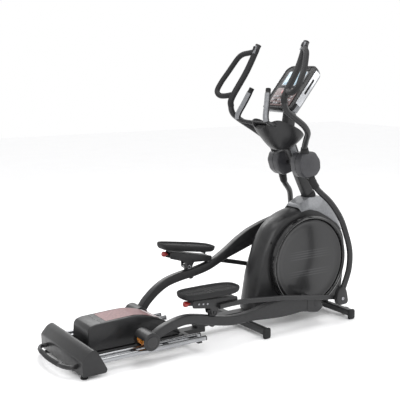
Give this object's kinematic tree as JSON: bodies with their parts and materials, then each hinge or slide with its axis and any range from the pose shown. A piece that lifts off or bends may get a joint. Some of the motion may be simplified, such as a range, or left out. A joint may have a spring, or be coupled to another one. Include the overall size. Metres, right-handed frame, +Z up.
{
  "type": "elliptical trainer",
  "caption": "Front-drive elliptical cross trainer: foot pedals on rolling arms, swinging handlebars, crank discs, inclining rear tracks, mast with console.",
  "frame": {"origin": "on the floor, under the middle of the machine's bounding box", "axes": "+X forward to the console, +Y to the user's left, +Z up"},
  "size_m": [2.1515, 0.7766, 1.8141],
  "materials": {
    "frame_steel": "satin charcoal powder coat",
    "housing_plastic": "fine-grained black moulding",
    "disc_plastic": "semi-gloss dark grey",
    "silver_plastic": "silver paint",
    "track_chrome": "polished",
    "bright_steel": "machined",
    "inner_steel": "black paint",
    "flywheel_iron": "machined rim",
    "roller_urethane": "amber, slightly translucent look",
    "black_rubber": "matte",
    "belt_rubber": "ribbed belt",
    "grip_metal": "satin contact plates",
    "bezel_plastic": "gloss black",
    "screen_glass": "clear window over a lit display",
    "knob_red": "red",
    "motor_plastic": "black case",
    "pulley_plastic": "black nylon"
  },
  "bodies": {
    "frame": {"main_spine": "frame_steel", "axle_tower": "inner_steel", "rear_stabiliser": "frame_steel", "mid_stabiliser": "frame_steel", "front_stabiliser": "frame_steel", "rear_cover": "housing_plastic", "rear_lift_handle": "frame_steel", "shroud_left": "housing_plastic", "shroud_right": "housing_plastic", "shroud_cap": "silver_plastic", "mast": "frame_steel", "console_cup": "housing_plastic", "pulse_bar": "frame_steel", "pulse_grip_left": "grip_metal", "pulse_grip_right": "grip_metal", "console_housing": "silver_plastic", "console_bezel": "bezel_plastic", "console_screen": "screen_glass", "drive_belt": "belt_rubber", "brake_magnets": "inner_steel", "incline_motor": "motor_plastic"},
    "crank": {"crank_shaft": "bright_steel", "crank_disc_left": "disc_plastic", "crank_disc_right": "disc_plastic", "drive_pulley": "pulley_plastic"},
    "flywheel": {"flywheel": "flywheel_iron"},
    "belt_idler": {"belt_idler": "pulley_plastic"},
    "ramp": {"ramp_frame": "frame_steel", "track_left": "track_chrome", "track_right": "track_chrome", "centre_cover": "housing_plastic"},
    "incline_screw": {"incline_screw": "bright_steel"},
    "carriage_right": {"roller_axle_right": "bright_steel"},
    "wheels_right": {"track_wheel_inner_right": "roller_urethane", "track_wheel_outer_right": "roller_urethane"},
    "arm_bush_right": {"roller_bush_right": "bright_steel"},
    "arm_right": {"connecting_arm_right": "frame_steel"},
    "pedal_bush_right": {"pedal_bush_right": "bright_steel"},
    "pedal_arm_right": {"pedal_arm_right": "frame_steel"},
    "pedal_right": {"pedal_right": "black_rubber"},
    "pedal_knob_right": {"pedal_knob_right": "knob_red"},
    "swing_right": {"swing_arm_right": "frame_steel", "swing_boot_right": "housing_plastic"},
    "button_right": {"grip_button_right": "black_rubber"},
    "carriage_left": {"roller_axle_left": "bright_steel"},
    "wheels_left": {"track_wheel_inner_left": "roller_urethane", "track_wheel_outer_left": "roller_urethane"},
    "arm_bush_left": {"roller_bush_left": "bright_steel"},
    "arm_left": {"connecting_arm_left": "frame_steel"},
    "pedal_bush_left": {"pedal_bush_left": "bright_steel"},
    "pedal_arm_left": {"pedal_arm_left": "frame_steel"},
    "pedal_left": {"pedal_left": "black_rubber"},
    "pedal_knob_left": {"pedal_knob_left": "knob_red"},
    "swing_left": {"swing_arm_left": "frame_steel", "swing_boot_left": "housing_plastic"},
    "button_left": {"grip_button_left": "black_rubber"},
    "levelling_foot_right": {"levelling_foot_right": "black_rubber"},
    "transport_wheel_right": {"transport_wheel_right": "black_rubber"},
    "levelling_foot_left": {"levelling_foot_left": "black_rubber"},
    "transport_wheel_left": {"transport_wheel_left": "black_rubber"}
  },
  "joints": [
    {"name": "crank_turn", "type": "hinge", "parent": "frame", "child": "crank", "pos_m": [0.729, 0, 0.39], "axis": [0, -1, 0], "continuous": true},
    {"name": "flywheel_turn", "type": "hinge", "parent": "frame", "child": "flywheel", "pos_m": [0.455, 0, 0.3], "axis": [0, -1, 0], "continuous": true},
    {"name": "idler_turn", "type": "hinge", "parent": "frame", "child": "belt_idler", "pos_m": [0.57638, 0, 0.23611], "axis": [0, -1, 0], "continuous": true},
    {"name": "ramp_incline", "type": "hinge", "parent": "frame", "child": "ramp", "pos_m": [-0.96, 0, 0.07], "axis": [0, -1, 0], "range_deg": [0, 6]},
    {"name": "incline_screw_turn", "type": "hinge", "parent": "frame", "child": "incline_screw", "pos_m": [-0.495, 0, 0.15], "axis": [0, 0, 1], "continuous": true},
    {"name": "stride_right", "type": "slide", "parent": "ramp", "child": "carriage_right", "axis": [1, 0, 0], "range_m": [-0.17, 0.19]},
    {"name": "wheel_roll_right", "type": "hinge", "parent": "carriage_right", "child": "wheels_right", "pos_m": [-0.56484, -0.23, 0.14], "axis": [0, 1, 0], "continuous": true},
    {"name": "lift_right", "type": "hinge", "parent": "carriage_right", "child": "arm_bush_right", "pos_m": [-0.56484, -0.23, 0.14], "axis": [0, -1, 0], "range_deg": [0, 22.5]},
    {"name": "arm_level_right", "type": "hinge", "parent": "arm_bush_right", "child": "arm_right", "pos_m": [-0.56484, -0.23, 0.14], "axis": [0, -1, 0], "range_deg": [-8.09, 0.2]},
    {"name": "pedal_bush_turn_right", "type": "hinge", "parent": "arm_right", "child": "pedal_bush_right", "pos_m": [-0.12323, -0.23, 0.2267], "axis": [0, -1, 0], "range_deg": [-33, 0.2]},
    {"name": "pedal_arm_turn_right", "type": "hinge", "parent": "pedal_bush_right", "child": "pedal_arm_right", "pos_m": [-0.12323, -0.23, 0.2267], "axis": [0, -1, 0], "range_deg": [-2.07, 2.29]},
    {"name": "pedal_tilt_right", "type": "hinge", "parent": "pedal_arm_right", "child": "pedal_right", "pos_m": [-0.00772, -0.23, 0.32027], "axis": [0, 1, 0], "range_deg": [0, 10]},
    {"name": "pedal_knob_turn_right", "type": "hinge", "parent": "pedal_arm_right", "child": "pedal_knob_right", "pos_m": [-0.30329, -0.23, 0.30108], "axis": [0.9984, 0, -0.057], "continuous": true},
    {"name": "swing_turn_right", "type": "hinge", "parent": "frame", "child": "swing_right", "pos_m": [0.68, -0.115, 1.035], "axis": [0, -1, 0], "range_deg": [-11.48, 12.81]},
    {"name": "button_press_right", "type": "slide", "parent": "swing_right", "child": "button_right", "axis": [0.8721, 0, -0.4893], "range_m": [0, 0.0015], "stiffness_N_per_m": 300, "springref_m": -0.001},
    {"name": "stride_left", "type": "slide", "parent": "ramp", "child": "carriage_left", "axis": [1, 0, 0], "range_m": [-0.19, 0.17]},
    {"name": "wheel_roll_left", "type": "hinge", "parent": "carriage_left", "child": "wheels_left", "pos_m": [-0.3805, 0.23, 0.14], "axis": [0, 1, 0], "continuous": true},
    {"name": "lift_left", "type": "hinge", "parent": "carriage_left", "child": "arm_bush_left", "pos_m": [-0.3805, 0.23, 0.14], "axis": [0, -1, 0], "range_deg": [-22.5, 0]},
    {"name": "arm_level_left", "type": "hinge", "parent": "arm_bush_left", "child": "arm_left", "pos_m": [-0.3805, 0.23, 0.14], "axis": [0, -1, 0], "range_deg": [-8.98, 0.2]},
    {"name": "pedal_bush_turn_left", "type": "hinge", "parent": "arm_left", "child": "pedal_bush_left", "pos_m": [-0.00599, 0.23, 0.38956], "axis": [0, -1, 0], "range_deg": [-0.2, 31.43]},
    {"name": "pedal_arm_turn_left", "type": "hinge", "parent": "pedal_bush_left", "child": "pedal_arm_left", "pos_m": [-0.00599, 0.23, 0.38956], "axis": [0, -1, 0], "range_deg": [-3.69, 3.32]},
    {"name": "pedal_tilt_left", "type": "hinge", "parent": "pedal_arm_left", "child": "pedal_left", "pos_m": [0.12181, 0.23, 0.46549], "axis": [0, 1, 0], "range_deg": [0, 10]},
    {"name": "pedal_knob_turn_left", "type": "hinge", "parent": "pedal_arm_left", "child": "pedal_knob_left", "pos_m": [-0.17344, 0.23, 0.48913], "axis": [0.9797, 0, -0.2004], "continuous": true},
    {"name": "swing_turn_left", "type": "hinge", "parent": "frame", "child": "swing_left", "pos_m": [0.68, 0.115, 1.035], "axis": [0, -1, 0], "range_deg": [-13.18, 11.81]},
    {"name": "button_press_left", "type": "slide", "parent": "swing_left", "child": "button_left", "axis": [0.9231, 0, -0.3846], "range_m": [0, 0.0015], "stiffness_N_per_m": 300, "springref_m": -0.001},
    {"name": "foot_turn_right", "type": "hinge", "parent": "frame", "child": "levelling_foot_right", "pos_m": [-0.96, -0.246, 0.01], "axis": [0, 0, 1], "continuous": true},
    {"name": "transport_wheel_turn_right", "type": "hinge", "parent": "frame", "child": "transport_wheel_right", "pos_m": [1.0125, -0.18, 0.026], "axis": [0, 1, 0], "continuous": true},
    {"name": "foot_turn_left", "type": "hinge", "parent": "frame", "child": "levelling_foot_left", "pos_m": [-0.96, 0.246, 0.01], "axis": [0, 0, 1], "continuous": true},
    {"name": "transport_wheel_turn_left", "type": "hinge", "parent": "frame", "child": "transport_wheel_left", "pos_m": [1.0125, 0.18, 0.026], "axis": [0, 1, 0], "continuous": true}
  ],
  "couplings": [
    {"joint": "flywheel_turn", "follows": "crank_turn", "ratio": 6.8182},
    {"joint": "idler_turn", "follows": "crank_turn", "ratio": -7.5},
    {"joint": "incline_screw_turn", "follows": "ramp_incline", "ratio": 116.87},
    {"joint": "wheel_roll_right", "follows": "stride_right", "rad_per_m": 25},
    {"joint": "arm_level_right", "follows": "ramp_incline", "ratio": -1.3157},
    {"joint": "pedal_bush_turn_right", "follows": "lift_right", "ratio": -1.4576},
    {"joint": "pedal_arm_turn_right", "follows": "stride_right", "rad_per_m": 0.19231},
    {"joint": "swing_turn_right", "follows": "stride_right", "rad_per_m": 1.1584},
    {"joint": "stride_left", "follows": "stride_right", "ratio": -1},
    {"joint": "wheel_roll_left", "follows": "stride_right", "rad_per_m": -25},
    {"joint": "lift_left", "follows": "lift_right", "ratio": -1},
    {"joint": "arm_level_left", "follows": "ramp_incline", "ratio": -1.463},
    {"joint": "pedal_bush_turn_left", "follows": "lift_right", "ratio": 1.3881},
    {"joint": "pedal_arm_turn_left", "follows": "stride_right", "rad_per_m": -0.32052},
    {"joint": "swing_turn_left", "follows": "stride_right", "rad_per_m": -1.1922}
  ]
}
